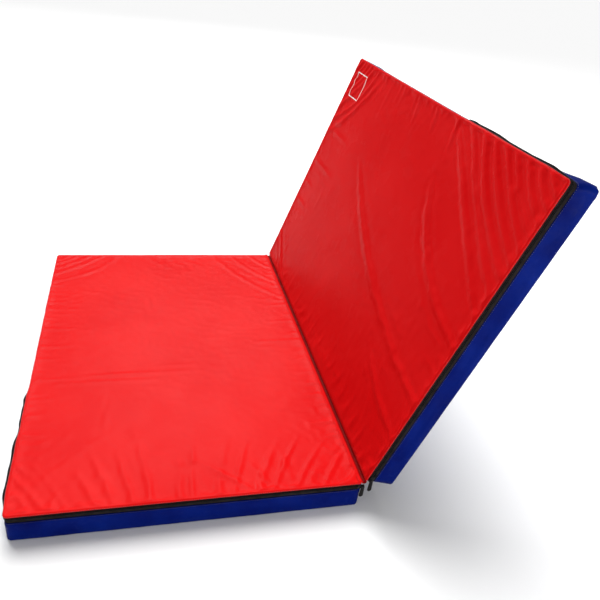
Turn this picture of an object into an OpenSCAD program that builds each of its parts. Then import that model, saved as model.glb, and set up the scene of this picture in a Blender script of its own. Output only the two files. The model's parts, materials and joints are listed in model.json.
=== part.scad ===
// Folding gym mat: two foam panels in zipped covers, joined by a fabric fold along one long side.
// Row frame: origin at the centre of the lying panel's underside, +X towards the fold, +Y along
// the fold, away from the zip side, +Z up. The left panel lies flat and the right one is raised.
// Panel frame, shared by both panels: the fold line is the Y axis, the panel runs along -X and its
// top face is just under z = 0. The zip side faces -Y.

/* [Panels] */
// Length of each panel, from the fold line to its outer end
panel_len = 1000; // [700:10:1400]
// Width of the mat, along the fold
mat_w = 1500; // [1200:10:2200]
// Thickness of each panel
panel_t = 100; // [80:5:200]
// Angle of the raised panel, measured from lying flat
raise_angle = 71.5; // [60:0.5:110]

/* [Cover] */
// Thickness of the coated cover fabric
skin_t = 1.2; // [0.8:0.1:1.5]
// Setback of the fold wall's top edge from the fold line
fold_set_top = 3; // [2:0.5:4]
// Setback of the fold wall's bottom edge from the fold line
fold_set_bottom = 4; // [3:1:30]
// Height of the fold line above the two top faces
fold_rise = 1.5; // [1.2:0.1:3]
// Width of the hinge strip sewn on each side of the fold line
strip_w = 14; // [10:1:30]
// Thickness of the hinge strip
strip_t = 0.8; // [0.5:0.1:0.9]

/* [Foam] */
// Gap between the foam core and the outside of the cover's four side walls
foam_set = 6.5; // [6.5:0.5:12]
// Gap between the foam core and the fold wall
foam_fold_gap = 2; // [1:0.5:6]
// Gap between the foam core and the top and base sheets
foam_face_gap = 0.3; // [0.2:0.1:1]

/* [Zip] */
// Height of the zip band, from the top edge down
zip_band_h = 33; // [30:1:40]
// Depth of the middle of the zip below the top edge
zip_depth = 17; // [15:1:18]
// Length of the zip around the corner, along the outer end wall
zip_return = 520; // [200:10:900]
// Start of the zip, from the fold line
zip_start = 7.5; // [7:0.5:10]
// Depth of the left zip behind the front wall's face
left_recess = 3; // [3:0.1:3]
// Depth of the right zip behind the front wall's face
right_recess = 0; // [0:0.1:0]
// Thickness of the zip tape
tape_t = 0.8; // [0.5:0.1:0.8]
// Height of each row of coil teeth
coil_h = 3; // [2:0.5:4]
// How far the coil stands out from the tape
coil_proud = 2; // [1.5:0.1:2]
// Gap between the two rows of coil, which the slider's web runs in
coil_gap = 1.2; // [1:0.1:1.5]

/* [Slider and pull] */
// Length of the slider's outer plate
slider_len = 20; // [18:1:24]
// Height of the slider's plates
slider_h = 14; // [12:1:18]
// Thickness of each plate of the slider
plate_t = 1.8; // [1.2:0.1:1.8]
// Thickness of the slider's web
web_t = 0.7; // [0.5:0.1:0.8]
// Gap between a slider plate and the coil or tape beside it
slide_gap = 0.3; // [0.2:0.1:0.3]
// Middle of the left slider, from the fold line
left_slider_x = 6; // [6:0.5:300]
// Middle of the right slider, from the fold line
right_slider_x = 18; // [18:1:300]
// Radius of the post that the pull swings on
post_r = 1.6; // [1.2:0.1:2]
// Radial running clearance of the pull's eye on its post
post_clear = 0.08; // [0.05:0.01:0.1]
// Radius of the post's head
post_head_r = 3; // [2.5:0.1:4]
// Length of the pull, from the post to its far end
pull_len = 42; // [25:1:60]
// Width of the pull at its far end
pull_w = 13; // [11:1:14]
// Width of the pull at its eye
pull_eye_w = 11; // [9:1:11]
// Thickness of the pull
pull_t = 1.6; // [1.2:0.1:1.6]

/* [Hidden] */
$fn = 48;

// Heights in the panel frame
top_z = -fold_rise;
base_z = top_z - panel_t;
zip_z = top_z - zip_depth;
zip_low_z = top_z - zip_band_h;
half_w = mat_w / 2;

// Outward stations of the zip, measured from the tape's outer face
plate_in = coil_proud + slide_gap;
plate_out = plate_in + plate_t;
pull_in = plate_out + 0.4;
pull_out = pull_in + pull_t;
head_in = pull_out + 0.2;
head_out = head_in + 0.8;
inner_plate_in = -tape_t - slide_gap - plate_t;

// Slider, measured along the zip from its middle, towards the fold
post_ahead = slider_len / 2 - 4;
inner_plate_ahead = 0;
web_len = 5;

// Clamp that closes the far end of the zip
stop_len = 4;
stop_h = 8;
stop_room = 3;

// Gap left between the hinge strip and the fold line
strip_gap = 1.5;
strip_end_gap = 2;

red = [0.85, 0.09, 0.09];
blue = [0.07, 0.09, 0.42];
black = [0.1, 0.09, 0.09];
foam_cream = [0.93, 0.9, 0.8];
gunmetal = [0.32, 0.32, 0.34];

// X of the leaning fold wall's outer face at height z
function fold_face_x(z) =
    -fold_set_top - (fold_set_bottom - fold_set_top) * (top_z - z) / panel_t;

// Puts a shape from the panel frame on the lying panel
module left_place() {
    translate([panel_len / 2, 0, panel_t + fold_rise])
        children();
}

// Puts a shape from the panel frame on the raised panel, as the left one's mirror image
module right_place() {
    translate([panel_len / 2, 0, panel_t + fold_rise])
        rotate([0, -raise_angle, 0])
            mirror([1, 0, 0])
                children();
}

// A box given by its lowest and highest corners
module span(low, high) {
    translate(low)
        cube(high - low);
}

// An outline in X and Z, run along Y from y_low to y_high
module run_along_fold(y_low, y_high) {
    translate([0, y_high, 0])
        rotate([90, 0, 0])
            linear_extrude(height = y_high - y_low)
                children();
}

// The panel's cross-section between two heights, set back from its outer end and its fold face
module section(z_low, z_high, end_set = 0, fold_set = 0) {
    polygon([
        [-panel_len + end_set, z_low],
        [fold_face_x(z_low) - fold_set, z_low],
        [fold_face_x(z_high) - fold_set, z_high],
        [-panel_len + end_set, z_high]
    ]);
}

module foam_core() {
    color(foam_cream)
        run_along_fold(-half_w + foam_set, half_w - foam_set)
            section(base_z + skin_t + foam_face_gap, top_z - skin_t - foam_face_gap,
                foam_set, skin_t + foam_fold_gap);
}

module top_sheet() {
    color(red)
        run_along_fold(-half_w, half_w)
            section(top_z - skin_t, top_z);
}

module base_sheet() {
    color(blue)
        run_along_fold(-half_w, half_w)
            section(base_z, base_z + skin_t);
}

// The zip side's wall, below the zip
module front_wall() {
    color(blue)
        run_along_fold(-half_w, -half_w + skin_t)
            section(base_z + skin_t, zip_low_z);
}

module back_wall() {
    color(blue)
        run_along_fold(half_w - skin_t, half_w)
            section(base_z + skin_t, top_z - skin_t);
}

// The outer end's wall, lower where the zip runs along it
module end_wall() {
    color(blue)
        difference() {
            span([-panel_len, -half_w + skin_t, base_z + skin_t],
                [-panel_len + skin_t, half_w - skin_t, top_z - skin_t]);
            span([-panel_len - 1, -half_w, zip_low_z],
                [-panel_len + skin_t + 1, -half_w + zip_return, top_z]);
        }
}

// The leaning wall under the fold
module fold_wall() {
    low = base_z + skin_t;
    high = top_z - skin_t;
    color(blue)
        run_along_fold(-half_w + skin_t, half_w - skin_t)
            polygon([
                [fold_face_x(low) - skin_t, low],
                [fold_face_x(low), low],
                [fold_face_x(high), high],
                [fold_face_x(high) - skin_t, high]
            ]);
}

// A band of the zip, along the front and around the outer corner: from depth_in to depth_out
// behind the wall's face, and ending end_room before the zip's far end
module zip_band(z_low, z_high, depth_out, depth_in, end_room = 0) {
    span([-panel_len + depth_out, -half_w + depth_out, z_low],
        [-zip_start, -half_w + depth_in, z_high]);
    span([-panel_len + depth_out, -half_w + depth_out, z_low],
        [-panel_len + depth_in, -half_w + zip_return - end_room, z_high]);
}

module zip_tape_upper(recess) {
    color(black)
        zip_band(zip_z + coil_gap / 2, top_z - skin_t, recess, recess + tape_t);
}

module zip_tape_lower(recess) {
    color(black)
        zip_band(zip_low_z, zip_z - coil_gap / 2, recess, recess + tape_t);
}

module zip_coil_upper(recess) {
    color(black)
        zip_band(zip_z + coil_gap / 2, zip_z + coil_gap / 2 + coil_h,
            recess - coil_proud, recess, stop_room + stop_len + slide_gap);
}

module zip_coil_lower(recess) {
    color(black)
        zip_band(zip_z - coil_gap / 2 - coil_h, zip_z - coil_gap / 2,
            recess - coil_proud, recess, stop_room + stop_len + slide_gap);
}

// The clamp across both rows of coil at the far end of the zip
module zip_stop(recess) {
    stop_y = -half_w + zip_return - stop_room - stop_len;
    color(gunmetal)
        span([-panel_len + recess - coil_proud, stop_y, zip_z - stop_h / 2],
            [-panel_len + recess, stop_y + stop_len, zip_z + stop_h / 2]);
}

// Slider with its middle at distance x from the fold line: two plates, the web between them, and
// the headed post that carries the pull
module zip_slider(x, recess) {
    color(gunmetal)
        translate([-x, -half_w + recess, zip_z]) {
            span([-slider_len / 2, -plate_out, -slider_h / 2],
                [slider_len / 2, -plate_in, slider_h / 2]);
            span([-slider_len / 2, tape_t + slide_gap, -slider_h / 2],
                [inner_plate_ahead, -inner_plate_in, slider_h / 2]);
            span([inner_plate_ahead - web_len, -plate_in, -web_t / 2],
                [inner_plate_ahead, tape_t + slide_gap, web_t / 2]);
            translate([post_ahead, 0, 0])
                rotate([90, 0, 0]) {
                    translate([0, 0, plate_out])
                        cylinder(r = post_r, h = head_in - plate_out);
                    translate([0, 0, head_in])
                        cylinder(r = post_head_r, h = head_out - head_in);
                }
        }
}

// Points along an arc of radius r about [0, z]
function arc(r, z, from, to, steps = 24) = [
    for (i = [0 : steps])
        let (a = from + (to - from) * i / steps)
            [r * cos(a), z + r * sin(a)]
];

// The pull's outline, hanging down from its eye
module pull_outline() {
    end_z = -pull_len + pull_w / 2;
    difference() {
        polygon(concat(arc(pull_eye_w / 2, 0, 0, 180), arc(pull_w / 2, end_z, 180, 360)));
        circle(r = post_r + post_clear);
    }
}

// Pull on a slider at distance x from the fold line. It hangs straight down on a panel that is
// raised by lean.
module zip_pull(x, recess, lean = 0) {
    color(black)
        translate([post_ahead - x, -half_w + recess, zip_z])
            rotate([0, -lean, 0])
                translate([0, -pull_in, 0])
                    rotate([90, 0, 0])
                        linear_extrude(height = pull_out - pull_in)
                            pull_outline();
}

// The half of the hinge strip that is sewn on this panel's top sheet
module hinge_strip() {
    color(red)
        span([-strip_w, -half_w + strip_end_gap, top_z],
            [-strip_gap, half_w - strip_end_gap, top_z + strip_t]);
}

module left_foam_core() left_place() foam_core();
module left_top_sheet() left_place() top_sheet();
module left_base_sheet() left_place() base_sheet();
module left_front_wall() left_place() front_wall();
module left_end_wall() left_place() end_wall();
module left_back_wall() left_place() back_wall();
module left_fold_wall() left_place() fold_wall();
module left_zip_tape_upper() left_place() zip_tape_upper(left_recess);
module left_zip_tape_lower() left_place() zip_tape_lower(left_recess);
module left_zip_coil_upper() left_place() zip_coil_upper(left_recess);
module left_zip_coil_lower() left_place() zip_coil_lower(left_recess);
module left_zip_stop() left_place() zip_stop(left_recess);
module left_zip_slider() left_place() zip_slider(left_slider_x, left_recess);
module left_zip_pull() left_place() zip_pull(left_slider_x, left_recess);
module left_hinge_strip() left_place() hinge_strip();

module right_foam_core() right_place() foam_core();
module right_top_sheet() right_place() top_sheet();
module right_base_sheet() right_place() base_sheet();
module right_front_wall() right_place() front_wall();
module right_end_wall() right_place() end_wall();
module right_back_wall() right_place() back_wall();
module right_fold_wall() right_place() fold_wall();
module right_zip_tape_upper() right_place() zip_tape_upper(right_recess);
module right_zip_tape_lower() right_place() zip_tape_lower(right_recess);
module right_zip_coil_upper() right_place() zip_coil_upper(right_recess);
module right_zip_coil_lower() right_place() zip_coil_lower(right_recess);
module right_zip_stop() right_place() zip_stop(right_recess);
module right_zip_slider() right_place() zip_slider(right_slider_x, right_recess);
module right_zip_pull() right_place() zip_pull(right_slider_x, right_recess, raise_angle);
module right_hinge_strip() right_place() hinge_strip();

left_foam_core();
left_top_sheet();
left_base_sheet();
left_front_wall();
left_end_wall();
left_back_wall();
left_fold_wall();
left_zip_tape_upper();
left_zip_tape_lower();
left_zip_coil_upper();
left_zip_coil_lower();
left_zip_stop();
left_zip_slider();
left_zip_pull();
left_hinge_strip();
right_foam_core();
right_top_sheet();
right_base_sheet();
right_front_wall();
right_end_wall();
right_back_wall();
right_fold_wall();
right_zip_tape_upper();
right_zip_tape_lower();
right_zip_coil_upper();
right_zip_coil_lower();
right_zip_stop();
right_zip_slider();
right_zip_pull();
right_hinge_strip();
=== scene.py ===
"""Looks of the folding gym mat: two foam panels in zipped covers, joined by a fabric fold.

Both panels are built in one panel frame. There the fold line is the Y axis, the panel runs along -X,
its top face is just under z = 0, and its zip side faces -Y. The right panel is then mirrored and turned
up. "Depth" is the distance below the top face, and s the distance along the panel's outline.
"""

import json
import math

import bpy
import numpy as np
from mathutils import Matrix, Vector


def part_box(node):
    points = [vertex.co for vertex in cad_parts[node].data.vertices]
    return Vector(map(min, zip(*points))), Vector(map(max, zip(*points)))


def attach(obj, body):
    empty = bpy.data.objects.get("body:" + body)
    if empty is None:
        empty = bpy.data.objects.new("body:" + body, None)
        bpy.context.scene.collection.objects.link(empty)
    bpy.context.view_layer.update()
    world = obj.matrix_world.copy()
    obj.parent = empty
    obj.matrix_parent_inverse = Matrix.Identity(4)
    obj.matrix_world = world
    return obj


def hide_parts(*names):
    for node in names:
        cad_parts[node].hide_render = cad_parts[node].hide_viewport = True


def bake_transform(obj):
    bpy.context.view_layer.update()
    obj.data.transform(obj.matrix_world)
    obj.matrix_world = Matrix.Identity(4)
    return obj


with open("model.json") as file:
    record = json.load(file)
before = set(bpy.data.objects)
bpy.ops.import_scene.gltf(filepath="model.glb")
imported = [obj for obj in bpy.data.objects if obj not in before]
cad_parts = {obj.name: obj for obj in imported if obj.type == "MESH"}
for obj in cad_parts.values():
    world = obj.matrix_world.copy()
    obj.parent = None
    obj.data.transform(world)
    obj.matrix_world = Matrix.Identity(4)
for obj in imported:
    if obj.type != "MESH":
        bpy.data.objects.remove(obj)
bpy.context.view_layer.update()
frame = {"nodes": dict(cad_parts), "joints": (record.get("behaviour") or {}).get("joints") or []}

MM = 0.001

# ---- sizes that come from the frame

JOINTS = {joint["name"]: joint for joint in frame["joints"]}
HINGE = Vector(JOINTS["fold_hinge"]["pos_m"])
LIFT = math.radians(-JOINTS["fold_hinge"]["range_deg"][0])  # the raised panel's angle

TOP_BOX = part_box("left_top_sheet")
BASE_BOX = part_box("left_base_sheet")
UPPER_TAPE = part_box("left_zip_tape_upper")
LOWER_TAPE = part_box("left_zip_tape_lower")

TOP = TOP_BOX[1].z - HINGE.z  # the top face's height
BASE = BASE_BOX[0].z - HINGE.z  # the underside's
THICK = TOP - BASE
END_X = TOP_BOX[0].x - HINGE.x  # the outer end
FOLD_X = TOP_BOX[1].x - HINGE.x  # the side at the fold, up at the top face
FOLD_LEAN = TOP_BOX[1].x - BASE_BOX[1].x  # how far that side steps back down to the base
HALF_W = TOP_BOX[1].y
ZIP_DEPTH = TOP - (UPPER_TAPE[0].z + LOWER_TAPE[1].z) / 2 + HINGE.z
ZIP_LOW_DEPTH = TOP - LOWER_TAPE[0].z + HINGE.z  # the lower tape's lower edge
ZIP_START_X = UPPER_TAPE[1].x - HINGE.x  # the zip's start on the front
ZIP_END_Y = UPPER_TAPE[1].y  # and its end on the outer end
TAPE_SLOT = (UPPER_TAPE[0].z - LOWER_TAPE[1].z) / 2  # half the gap between the tapes
PULL_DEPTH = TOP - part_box("left_zip_pull")[0].z + HINGE.z  # the pull's lower tip

# ---- sizes of the sewn cover

END_CORNER_R = 13 * MM  # the outline's corners, at the outer end
FOLD_CORNER_R = 7 * MM  # and at the fold
CLOTH_T = 0.8 * MM

EDGE_R = 5 * MM  # how tightly the red face rolls over its edge
HEM_DEPTH = 6.5 * MM  # where its hem ends
SHEET_CELL = 6.5 * MM  # the face's grid in its middle
SEAM_CELL = 3.6 * MM  # and at its seams
GRADED_OVER = 70 * MM  # distance over which the cells grow
CORNER_LINES = 4  # grid lines inside each rounded corner
EDGE_RINGS = 5  # rings of points round the rolled edge
SHEET_SET = 1.6 * MM  # depth of the face's sewn edge
FACE_SET = 1.6 * MM  # how much lower its middle lies
RISE_MOST = 2.6 * MM  # limits of its relief, up
DIP_MOST = 4.4 * MM  # and down
TURN_DOWN_FROM = 16 * MM  # the face turns down from here to the fold
TURN_DOWN_OVER = 14 * MM  # over this distance

FAN_HEIGHT = 2.6 * MM  # puckers that fan out from the front
FAN_WIDTH = 10 * MM
SEAM_PUCKER = 0.9 * MM  # gathers along the seams
FOAM_DEEP = 6.5 * MM  # depth of the surface the cloth settles on
SPARE_MOST = 0.022  # share of spare cloth at the seams
SETTLE_STEPS = 20
SETTLED_MORE = 1.2  # factor on the settled relief
FOLDS_KEPT = 0.8  # share of the drawn folds added to it

WALL_CELL = 9 * MM
WALL_ROWS = 14
SEAM_LAP = 1.5 * MM  # how far the two walls overlap
BASE_R = 5 * MM  # how tightly they turn under the base
BASE_TURNS = 5  # rows round that turn
BASE_LAP = 6 * MM  # how far they run on under it
BASE_RIPPLE = 1.2 * MM  # most that the underside lifts off the floor
FRONT_BULGE = 4 * MM  # how far the front wall stands out under its zip
BACK_BULGE = 5 * MM
CREASED_BULGE = 4 * MM  # an outer end bulged this far is creased like the rest
BULGE_VARIES = 0.28  # share by which a bulge varies
WALL_PUCKER = 2.6 * MM  # small creases
WALL_DENT = 3.4 * MM  # and wide ones
WALL_SINK = 1.2 * MM  # creased cloth lies this much further in
PULL_CLEAR = 0.9 * MM  # most that the front wall stands out behind the pull
BELOW_PULL = 3 * MM  # and how much more below it

FOAM_TOP = 7.5 * MM  # depth of the foam core's top
FOAM_LIFT = 4 * MM  # between the core and the underside

STRIP_SET = 0.3 * MM  # depth of the hinge strip's outer face
STRIP_HALF = 14 * MM  # its width on each panel
STRIP_MIDDLE = 23 * MM  # its middle, measured across the cloth
STRIP_EDGE = 4.2 * MM  # it turns down this far from the fold line
CREASE_DEEP = 10 * MM  # how deep it dips

TAPE_CELL = 6 * MM
TAPE_ROWS = 9
TAPE_T = 0.6 * MM
TAPE_TUCK = 1.1 * MM  # how far its edges lie under the cover
TAPE_RIPPLE = 0.25 * MM
COIL_PITCH = 3 * MM
COIL_WIRE_R = 0.5 * MM
STITCH_PITCH = 6 * MM
STITCH_LENGTH = 4.2 * MM
STITCH_WIDTH = 1.1 * MM
STITCH_RISE = 0.2 * MM  # of a stitch's middle over the cloth


def smooth_step(low, high, x):
    """0 below low, 1 above high, and smooth between."""
    t = np.clip((np.asarray(x, float) - low) / (high - low), 0, 1)
    return t * t * (3 - 2 * t)


def unit(vectors):
    """The vectors, each scaled to length 1."""
    return vectors / np.linalg.norm(vectors, axis=-1, keepdims=True)


def smooth_noise(x, y, cell, seed):
    """Smooth random heights from -1 to 1, on a square lattice of that cell."""
    rng = np.random.default_rng(seed)
    lattice = rng.uniform(-1, 1, (256, 256))
    u = np.asarray(x, float) / cell + 100
    v = np.asarray(y, float) / cell + 100
    i = np.floor(u).astype(int)
    j = np.floor(v).astype(int)
    a = smooth_step(0, 1, u - i)
    b = smooth_step(0, 1, v - j)
    i0, j0, i1, j1 = i % 256, j % 256, (i + 1) % 256, (j + 1) % 256
    low = lattice[i0, j0] * (1 - a) + lattice[i1, j0] * a
    high = lattice[i0, j1] * (1 - a) + lattice[i1, j1] * a
    return low * (1 - b) + high * b


# ---- the outline, seen from above


def make_outline(step=1 * MM):
    """Points and outward normals every step along the panel's edge. It starts at the fold's front
    corner and runs along the front, the outer end, the back and the fold."""
    corners = [(FOLD_X, -HALF_W), (END_X, -HALF_W), (END_X, HALF_W), (FOLD_X, HALF_W)]
    radii = [FOLD_CORNER_R, END_CORNER_R, END_CORNER_R, FOLD_CORNER_R]
    xy, normal, stations = [], [], []
    travelled = 0.0
    for k in range(4):
        (x0, y0), (x1, y1) = corners[k], corners[(k + 1) % 4]
        r0, r1 = radii[k], radii[(k + 1) % 4]
        side = math.hypot(x1 - x0, y1 - y0)
        along = np.array([(x1 - x0) / side, (y1 - y0) / side])
        out = np.array([-along[1], along[0]])
        start = np.array([x0, y0]) + along * r0
        length = side - r0 - r1
        count = int(length / step)
        for d in np.linspace(0, length, count, endpoint=False):
            xy.append(start + along * d)
            normal.append(out)
            stations.append(travelled + d)
        travelled += length
        centre = start + along * length - out * r1
        turns = 12
        for t in np.linspace(0, math.pi / 2, turns, endpoint=False):
            n = out * math.cos(t) + along * math.sin(t)
            xy.append(centre + n * r1)
            normal.append(n)
            stations.append(travelled + r1 * t)
        travelled += r1 * math.pi / 2
    return np.array(stations), np.array(xy), np.array(normal), travelled


STATIONS, EDGE_XY, EDGE_NORMAL, AROUND = make_outline()


def along_edge(s):
    """(points, outward normals) at distances s along the outline."""
    s = np.asarray(s, float) % AROUND
    points, normals = (
        np.stack([np.interp(s, STATIONS, values, period=AROUND) for values in table.T], -1)
        for table in (EDGE_XY, EDGE_NORMAL)
    )
    return points, unit(normals)


# Distances along the outline. The tapes start round the corner at the fold.
S_TAPE_START = -5 * MM
S_ZIP_START = FOLD_X - FOLD_CORNER_R - ZIP_START_X
S_END = float(STATIONS[np.argmin(EDGE_XY[:, 0] + EDGE_XY[:, 1])])  # the front outer corner
S_ZIP_END = S_END + (ZIP_END_Y + HALF_W)
S_BACK = S_END + 2 * HALF_W - END_CORNER_R * 0.4  # the back outer corner
S_FOLD = AROUND - 2 * HALF_W + FOLD_CORNER_R  # the back corner at the fold


def stretch(place, start, end, rise, fall):
    """1 from start to end, 0 outside, with a smooth rise after start and a smooth fall before end."""
    return smooth_step(start, start + rise, place) * (1 - smooth_step(end - fall, end, place))


def fold_lean(x, depth):
    """How far the side at the fold steps back at a depth. It fades out away from the fold."""
    near_fold = smooth_step(FOLD_X - 60 * MM, FOLD_X - 5 * MM, x)
    return near_fold * FOLD_LEAN * np.clip(depth / THICK, 0, 1)


# ---- one panel


class Panel:
    """What differs between the lying and the raised panel."""

    def __init__(self, side, seed, zip_bulge, end_bulge, end_lean, corner_flare, fold_drop):
        self.side = side
        self.body = side + "_panel"
        self.mirrored = side == "right"
        self.seed = seed
        self.zip_bulge = zip_bulge  # how far the outer end stands out along its zip
        self.end_bulge = end_bulge  # and past the zip
        self.end_lean = end_lean  # how far the outer end steps back down to the base
        self.corner_flare = corner_flare  # how far the front outer corner stands out
        self.fold_drop = fold_drop  # how far the face turns down at the fold
        self.zip_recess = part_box(side + "_zip_tape_upper")[0].y + HALF_W
        turn = Matrix.Rotation(-LIFT, 4, "Y") if self.mirrored else Matrix.Identity(4)
        self.place = Matrix.Translation(HINGE) @ turn

    def node(self, name):
        """The full name of this panel's CAD node or piece."""
        return f"{self.side}_{name}"

    def flare(self, s, depth):
        """How far the front outer corner stands out under its zip."""
        by_corner = stretch(s, S_END - 20 * MM, S_END + 130 * MM, rise=25 * MM, fall=90 * MM)
        under_zip = stretch(depth, ZIP_LOW_DEPTH - 6 * MM, THICK, rise=46 * MM, fall=9 * MM)
        return self.corner_flare * by_corner * under_zip

    def bulge(self, s, depth):
        """How far the side stands out from the outline at s and depth. The front stays straight at the
        zip, where the slider runs, and the outer end stands out most at its zip."""
        s, depth = np.broadcast_arrays(np.asarray(s, float) % AROUND, np.asarray(depth, float))
        front = stretch(s, 0.01, S_END, rise=0.11, fall=0.1)
        end = stretch(s, S_END, S_BACK, rise=0.09, fall=0.12)
        back = stretch(s, S_BACK, S_FOLD, rise=0.1, fall=0.1)
        on_zip = 1 - smooth_step(S_ZIP_END - 0.04, S_ZIP_END + 0.02, s)
        down = np.clip(depth / THICK, 0, 1)
        whole_side = np.sin(math.pi * down)
        under_zip = np.sin(math.pi * np.clip((depth - ZIP_LOW_DEPTH) / (THICK - ZIP_LOW_DEPTH), 0, 1))
        by_zip = smooth_step(-2 * MM, 20 * MM, depth) * (1 - 0.85 * smooth_step(20 * MM, THICK, depth))
        end_bulge = self.end_bulge + (self.zip_bulge - self.end_bulge) * on_zip
        swell = (
            FRONT_BULGE * front * under_zip ** 0.8
            + end_bulge * end * by_zip
            + BACK_BULGE * back * whole_side ** 0.8
        )
        swell = swell * (1 + BULGE_VARIES * smooth_noise(s, 0 * s, 0.09, self.seed + 5))
        lean = self.end_lean * end * down - self.flare(s, depth)
        loose = np.where(s < S_END, under_zip, whole_side)
        loose = loose * (1 - 0.9 * smooth_step(S_FOLD - 0.03, S_FOLD, s))
        loose = loose * (0.3 + 0.7 * end * self.end_bulge / CREASED_BULGE + 0.7 * (front + back))
        pucker = WALL_PUCKER * smooth_noise(s + 0.6 * depth, depth * 0.5, 0.028, self.seed + 6)
        dent = WALL_DENT * smooth_noise(s + 0.5 * depth, depth * 1.2, 0.06, self.seed + 7)
        total = swell - lean + loose * (pucker + dent - WALL_SINK)
        room = PULL_CLEAR + BELOW_PULL * smooth_step(PULL_DEPTH + 2 * MM, PULL_DEPTH + 18 * MM, depth)
        return np.where((s < S_END) & (total > 0), room * np.tanh(total / room), total)

    def wall(self, s, depth, out):
        """Points of the side wall at s and depth, moved out along the outline's normals."""
        s, depth, out = np.broadcast_arrays(*(np.asarray(a, float) for a in (s, depth, out)))
        points, normals = along_edge(s)
        offset = self.bulge(s, depth) + out
        x = points[..., 0] + normals[..., 0] * offset
        y = points[..., 1] + normals[..., 1] * offset
        return np.stack([x - fold_lean(points[..., 0], depth), y, TOP - depth], -1)

    def edge_drop(self, x):
        """How far the face turns down towards the fold line."""
        near = np.clip((np.asarray(x, float) - FOLD_X + TURN_DOWN_FROM) / TURN_DOWN_OVER, 0, 1)
        return self.fold_drop * near ** 2


LEFT = Panel(
    "left", 11, zip_bulge=15 * MM, end_bulge=4 * MM, end_lean=0, corner_flare=0, fold_drop=1 * MM)
RIGHT = Panel(
    "right", 47, zip_bulge=5.5 * MM, end_bulge=0.4 * MM, end_lean=4 * MM, corner_flare=11 * MM,
    fold_drop=4.5 * MM)

# ---- mesh helpers


def grid_faces(rows, columns, closed=False):
    """Quads over a grid of points stored row by row. In a closed grid each row is a ring."""
    faces = []
    last = columns if closed else columns - 1
    for i in range(rows - 1):
        for j in range(last):
            k = (j + 1) % columns
            faces.append((i * columns + j, i * columns + k, (i + 1) * columns + k, (i + 1) * columns + j))
    return faces


def add_object(name, data):
    """A new object in the scene."""
    made = bpy.data.objects.new(name, data)
    bpy.context.scene.collection.objects.link(made)
    return made


def add_mesh(name, points, faces, material, uv=None):
    """A smooth-shaded mesh object. uv gives each point's place on the flat cloth, in metres."""
    mesh = bpy.data.meshes.new(name)
    mesh.from_pydata(points.tolist(), [], faces)
    if uv is not None:
        uv = np.array(uv, float).reshape(-1, 2)
        layer = mesh.uv_layers.new(name="cloth")
        corner = np.zeros(len(mesh.loops), int)
        mesh.loops.foreach_get("vertex_index", corner)
        layer.data.foreach_set("uv", uv[corner].ravel())
    mesh.polygons.foreach_set("use_smooth", [True] * len(mesh.polygons))
    mesh.materials.append(material)
    return add_object(name, mesh)


def add_piece(panel, name, points, faces, material, slot, uv=None, nodes=()):
    """A mesh given in the panel frame becomes a piece on the panel's body, in place of CAD nodes."""
    points = np.array(points, float).reshape(-1, 3)
    if panel.mirrored:
        points = points * [-1, 1, 1]
        faces = [face[::-1] for face in faces]
    piece = add_mesh(panel.node(name), points, faces, material, uv)
    piece.matrix_world = panel.place
    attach(piece, panel.body)
    if nodes:
        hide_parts(*(panel.node(node) for node in nodes))
    return piece


def thicken(piece, thickness):
    """Gives a sheet its real thickness, inwards."""
    solid = piece.modifiers.new("thickness", "SOLIDIFY")
    solid.thickness = thickness
    solid.offset = -1


def add_sheet(panel, name, points, faces, material, slot, uv, nodes, thickness=CLOTH_T):
    """A sheet of cloth or tape, stretched over the foam block."""
    sheet = add_piece(panel, name, points, faces, material, slot, uv, nodes)
    thicken(sheet, thickness)
    panel.node("foam_block")


def grid_uv(across, down):
    """Cloth coordinates of a grid's points, row by row."""
    return np.stack(np.broadcast_arrays(across[None, :], down[:, None]), -1)


def closed_tube_faces(rings, sides):
    """Faces of a tube of rings of points, with a cap on each end."""
    faces = grid_faces(rings, sides, closed=True)
    faces.append(tuple(range(sides))[::-1])
    faces.append(tuple(range((rings - 1) * sides, rings * sides)))
    return faces


def flat_vectors(xy):
    """Level vectors in the panel frame from vectors in the outline's plane."""
    return np.column_stack([xy, np.zeros(len(xy))])


# ---- materials
# Cloth and object coordinates are in metres, so a noise of scale 100 has spots of about 10 mm.

RED_COLOURS = (0.58, 0.004, 0.005), (0.63, 0.009, 0.009)
# A darker copy of the red for the raised panel: painted shade, as that panel is turned away from the
# light.
SHADED_RED_COLOURS = (0.56, 0.003, 0.004), (0.6, 0.006, 0.007)
# The lighter blue, in broad random patches, is partly painted highlight standing in for light caught on
# the walls, and partly uneven colour of the cloth.
BLUE_COLOURS = (0.001, 0.0035, 0.075), (0.002, 0.012, 0.15)
DARK_COLOURS = (0.02, 0.018, 0.017)
PRINT_COLOUR = (0.78, 0.77, 0.74)
# Near-black red painted down in the fold: painted shade, where the crease lies in shadow.
CREASE_SHADE_COLOUR = (0.02, 0.001, 0.001)

BOX_MIDDLE = (-0.897, 0.645)  # the printed name box, in the panel frame
BOX_HALF = (0.052, 0.058)
BOX_LINE = 4 * MM
CREASE_SHADE_MOST = 0.7  # share of painted shade down in the fold
CREASE_SHADE_FULL = 3.5 * MM  # full this far from the middle
CREASE_SHADE_GONE = 10 * MM  # and gone this far from it


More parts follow.
